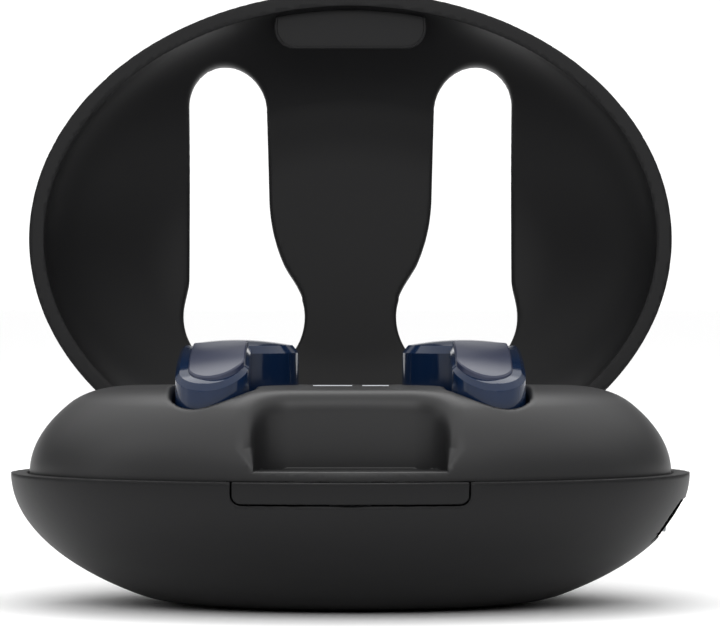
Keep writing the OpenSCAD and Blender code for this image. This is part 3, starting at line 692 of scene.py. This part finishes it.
def arm_field(x, y, z):
    """Eye round the pin with a flat bar that runs up to the lid's inner face."""
    u = (y - HINGE_Y) * math.cos(ARM_ANGLE) + (z - HINGE_Z) * math.sin(ARM_ANGLE)
    v = -(y - HINGE_Y) * math.sin(ARM_ANGLE) + (z - HINGE_Z) * math.cos(ARM_ANGLE)
    r = np.hypot(u, v)
    arm = either(r - EYE_R, rect(u - 6, v, 6, ARM_HALF_W), 1.0)
    arm = both(arm, np.abs(x + ARM_X) - ARM_T / 2, 0.3)
    arm = both(arm, r - ARM_REACH, 0.2)
    arm = both(arm, lid_inside(x, y, z), 0.1)
    return np.maximum(arm, PIN_BORE_R - r)


ARM_LOW = [-ARM_X - ARM_T / 2, HINGE_Y - 9, HINGE_Z - 3]
ARM_HIGH = [-ARM_X + ARM_T / 2, HINGE_Y + 3, HINGE_Z + 9]


# ---- Earbuds ----

def face_height(x, y):
    """Height of the face, which rises to the back and to the middle.

    It is 12.4 + 1.5 (1 - exp(-v/5)) + 0.033 v + (0.19 - 0.006 v) u, from the middle of the round front end.
    """
    u, v = x - FACE_X, y - FACE_FRONT
    return 12.4 + 1.5 * (1 - np.exp(-v / 5)) + 0.033 * v + (0.19 - 0.006 * v) * u


def ledge_height(x, y):
    """Height of the ledge round the face, which lies deeper towards the middle of the case."""
    return face_height(x, y) - 0.3 - 0.45 * np.clip((x - FACE_X + 1.5) / 4.5, 0, 1)


def bud_body_field(x, y, z):
    """Body of an earbud up to the joint line, with the nozzle below it."""
    body = both(bud_plan(x, y), z - BODY_TOP, 0.2)
    body = both(body, BUD_UNDER - z, 0.8)
    drum = np.hypot(x - DRUM_X, y - DRUM_Y)
    nozzle = np.maximum(drum - NOZZLE_R, np.maximum(BUD_UNDER - NOZZLE_L - z, z))
    body = either(body, nozzle, 0.5)
    body = np.maximum(body, -np.maximum(drum - NOZZLE_R + NOZZLE_WALL, z - 0.4))
    contacts = np.minimum(np.hypot(x - CONTACT_X, y - CONTACT_Y[0]), np.hypot(x - CONTACT_X, y - CONTACT_Y[1]))
    return np.maximum(body, -np.maximum(contacts - CONTACT_R - SEAT_GAP, z))


def behind_drum(x, y, gap):
    """What lies in the round part, drawn out by a gap, or behind its middle."""
    return np.minimum(drum_plan(x, y) - gap, DRUM_Y - y)


def bud_cover_field(x, y, z):
    """Cover of the bar: its outline drawn up to a ledge that follows the face, with a chamfer round it."""
    plan, top = bar_plan(x, y), z - ledge_height(x, y)
    cover = np.maximum(np.maximum(plan, top), (plan + top) * 0.7071 + 0.32)
    cover = np.maximum(cover, BODY_TOP + JOINT_GAP - z)
    return np.maximum(cover, -behind_drum(x, y, DRUM_GAP))


def bud_face_field(x, y, z):
    """Raised face: a narrower round-ended bar past the ledge, with a fine chamfer round its top."""
    plan = np.hypot(x - FACE_X, y - np.clip(y, FACE_FRONT, DRUM_Y)) - FACE_R
    top = z - face_height(x, y)
    plate = np.maximum(np.maximum(plan, top), (plan + top) * 0.7071 + 0.1)
    plate = np.maximum(plate, ledge_height(x, y) - 0.2 - z)
    plate = np.maximum(plate, z - BUD_TOP)
    return np.maximum(plate, -behind_drum(x, y, DRUM_GAP))


def bud_drum_field(x, y, z):
    """Round rear part: an upright wall, a wide chamfer, a domed top and a slope on its outer side."""
    r = np.hypot(x - DRUM_X, y - DRUM_Y)
    top = z - BUD_TOP + 0.016 * r**2
    drum = np.maximum(np.maximum(r - DRUM_R, top), (r - DRUM_R + top) * 0.7071 + 0.5)
    drum = np.maximum(drum, (z - 14 - 1.36 * (x - BUD_X + 2.55)) * 0.59)
    return np.maximum(drum, BODY_TOP + JOINT_GAP - z)


BUD_LOW = body_low - [0, 0, RIM]
BODY_HIGH = np.array([drum_high[0], drum_high[1], BODY_TOP])
COVER_LOW = np.array([face_low[0], face_low[1], BODY_TOP])
COVER_HIGH = np.array([face_high[0], DRUM_Y, BUD_TOP])


def lathe(name, profile, turns, material, body, replaces, place):
    """Piece from a closed profile of (radius, height) points carried round the drum's axis.

    A point at radius r and height h becomes (DRUM_X + r cos a, DRUM_Y + r sin a, h) for equal steps of a.
    """
    angle = np.linspace(0, 2 * np.pi, turns, endpoint=False)
    ring = np.stack([np.cos(angle), np.sin(angle)], axis=1)
    verts = np.concatenate([
        DRUM_X + profile[:, None, 0] * ring[None, :, 0],
        DRUM_Y + profile[:, None, 0] * ring[None, :, 1],
        np.repeat(profile[:, 1:2], turns, axis=1),
    ]).reshape(3, -1).T
    i, j = np.meshgrid(np.arange(len(profile)), np.arange(turns), indexing="ij")
    up, on = (i + 1) % len(profile), (j + 1) % turns
    faces = np.stack([i * turns + j, i * turns + on, up * turns + on, up * turns + j], axis=-1).reshape(-1, 4)
    if place is mirrored:
        verts, faces = mirrored(verts), faces[:, ::-1]
    return mesh_piece(name, verts, faces, material, body, replaces)


def tip_profile():
    """Silicone tip's section: outer dome, rounded skirt edge, inside of the dome, and tube on the nozzle."""
    mouth, outer, thick = 1.9, TIP_R, TIP_WALL
    top, bottom = BUD_UNDER - TIP_DROP, BUD_UNDER - TIP_DROP - TIP_H
    middle = bottom + TIP_H * 0.65
    t = np.radians(np.linspace(0, 90, 24))
    dome = np.stack([mouth + (outer - mouth) * np.sin(t), middle - (middle - bottom) * np.cos(t)], axis=1)
    e = np.radians(np.linspace(0, 180, 9))
    edge_r = thick / 2
    edge = np.stack([outer - 0.1 - edge_r + edge_r * np.cos(e), top - edge_r + edge_r * np.sin(e)], axis=1)
    t = np.radians(np.linspace(90, 40, 12))
    inner = np.stack([
        mouth + (outer - thick - mouth) * np.sin(t), middle - (middle - bottom - thick) * np.cos(t)
    ], axis=1)
    tube_r, bore = NOZZLE_R + 0.75, NOZZLE_R + 0.05
    nozzle_end = BUD_UNDER - NOZZLE_L - 0.05
    tube = np.array([[tube_r, inner[-1, 1] - 0.1], [tube_r, top - 0.1], [bore, top - 0.1],
                     [bore, nozzle_end], [mouth, nozzle_end]])
    return np.concatenate([dome, edge, inner, tube])


for side, place, turned in (("left", None, False), ("right", mirrored, True)):
    bud = "earbud_" + side
    skin_piece(bud + "_body_skin", bud_body_field, BUD_LOW, BODY_HIGH, 0.3,
               NAVY, bud, ["earbud_body_" + side], place, turned)
    skin_piece(bud + "_cover_skin", bud_cover_field, COVER_LOW, COVER_HIGH, 0.16,
               NAVY, bud, ["earbud_face_" + side], place, turned)
    skin_piece(bud + "_face_skin", bud_face_field, COVER_LOW, COVER_HIGH, 0.16,
               FACE, bud, ["earbud_face_" + side], place, turned)
    skin_piece(bud + "_drum_skin", bud_drum_field, drum_low - [0, 0, RIM], drum_high - [0, 0, RIM], 0.16,
               NAVY, bud, ["earbud_drum_" + side], place, turned)
    lathe("ear_tip_" + side + "_skin", tip_profile(), 96, RUBBER, bud, ["ear_tip_" + side], place)
    arm_place = opened if side == "left" else (lambda p: opened(mirrored(p)))
    skin_piece("lid_arm_" + side + "_skin", arm_field, ARM_LOW, ARM_HIGH, 0.22,
               SHELL, "lid", ["lid_arm_" + side], arm_place, turned)


# ---- Floor, light and camera ----

def paper_floor():
    """Wide sheet of white paper under the case."""
    paper, shader = new_material("white_paper")
    place = add(paper, "ShaderNodeTexCoord").outputs["Object"]
    fibre = add(paper, "ShaderNodeTexNoise", {"Vector": place}, Scale=900.0, Detail=2.0)
    tone = add(paper, "ShaderNodeMix", {"Factor": fibre.outputs["Fac"]}, data_type="RGBA")
    tone.inputs["A"].default_value = colour("#fbfbfb")
    tone.inputs["B"].default_value = colour("#ffffff")
    feed(paper, shader, "Base Color", tone.outputs["Result"])
    set_shader(shader, Roughness=0.9, Specular_IOR_Level=0.1)
    across = np.linspace(-4, 4, 9)
    verts = np.stack([np.tile(across, 9), np.repeat(across, 9), np.zeros(81)], 1)
    i, j = np.meshgrid(np.arange(8), np.arange(8), indexing="ij")
    faces = np.stack([i * 9 + j, i * 9 + j + 1, (i + 1) * 9 + j + 1, (i + 1) * 9 + j], -1).reshape(-1, 4)
    mesh = bpy.data.meshes.new("paper_floor")
    mesh.from_pydata(verts.tolist(), [], faces.tolist())
    mesh.shade_smooth()
    mesh.materials.append(paper)
    floor = bpy.data.objects.new("paper_floor", mesh)
    bpy.context.scene.collection.objects.link(floor)


def area_light(name, at, aim, size, watts):
    """Rectangular lamp at a place, turned to a point."""
    data = bpy.data.lights.new(name, "AREA")
    data.shape = "RECTANGLE"
    data.size, data.size_y = size
    data.energy = watts
    lamp = bpy.data.objects.new(name, data)
    lamp.location = at
    direction = np.array(aim) - np.array(at)
    lamp.rotation_euler = Vector(direction).to_track_quat("-Z", "Y").to_euler()
    bpy.context.scene.collection.objects.link(lamp)


paper_floor()
area_light("back_softbox", (0, 0.35, 0.8), (0, 0, 0.02), (0.8, 0.5), 2.4)
area_light("front_softbox", (0, -0.9, 0.55), (0, 0, 0.03), (0.8, 0.4), 2.4)
area_light("left_strip", (-0.6, -0.05, 0.25), (0, 0, 0.02), (0.15, 0.5), 0.25)
area_light("right_strip", (0.6, 0.1, 0.3), (0, 0, 0.02), (0.1, 0.4), 0.05)


def ramp(world, source, start, end, low, high):
    """Smooth step from low to high as the source goes from start to end."""
    step = add(world, "ShaderNodeMapRange", {"Value": source}, interpolation_type="SMOOTHSTEP")
    for socket, value in (("From Min", start), ("From Max", end), ("To Min", low), ("To Max", high)):
        step.inputs[socket].default_value = value
    return step.outputs["Result"]


def studio_world():
    """White low behind the case and overhead, and dimmer to the sides, to the front and above the backdrop."""
    world = bpy.data.worlds.new("studio_white")
    world.use_nodes = True
    background = world.node_tree.nodes["Background"]
    background.inputs["Color"].default_value = (1, 1, 1, 1)
    where = add(world, "ShaderNodeTexCoord").outputs["Generated"]
    parts = add(world, "ShaderNodeSeparateXYZ", {"Vector": where})
    back = ramp(world, parts.outputs["Y"], 0.75, 0.97, 0.0, 1.0)
    low = ramp(world, parts.outputs["Z"], 0.08, 0.2, 1.15, 0.2)
    over = ramp(world, parts.outputs["Z"], 0.2, 0.8, 0.12, 1.35)
    backdrop = add(world, "ShaderNodeMath", operation="MULTIPLY")
    world.node_tree.links.new(back, backdrop.inputs[0])
    world.node_tree.links.new(low, backdrop.inputs[1])
    brighter = add(world, "ShaderNodeMath", operation="MAXIMUM")
    world.node_tree.links.new(backdrop.outputs[0], brighter.inputs[0])
    world.node_tree.links.new(over, brighter.inputs[1])
    world.node_tree.links.new(brighter.outputs[0], background.inputs["Strength"])
    bpy.context.scene.world = world


studio_world()
bpy.context.scene.view_settings.view_transform = "Standard"

EYE_DISTANCE = 530
EYE_OVER_RIM = 22.2
camera_data = bpy.data.cameras.new("camera")
camera_data.sensor_width = 36
camera_data.lens = 239.6
camera_data.shift_x = 0.0133
camera_data.clip_start, camera_data.clip_end = 0.05, 20
camera = bpy.data.objects.new("camera", camera_data)
camera.location = (0, -EYE_DISTANCE * MM, (RIM + EYE_OVER_RIM) * MM)
camera.rotation_euler = (math.radians(90 - 0.58), 0, 0)
bpy.context.scene.collection.objects.link(camera)
bpy.context.scene.camera = camera
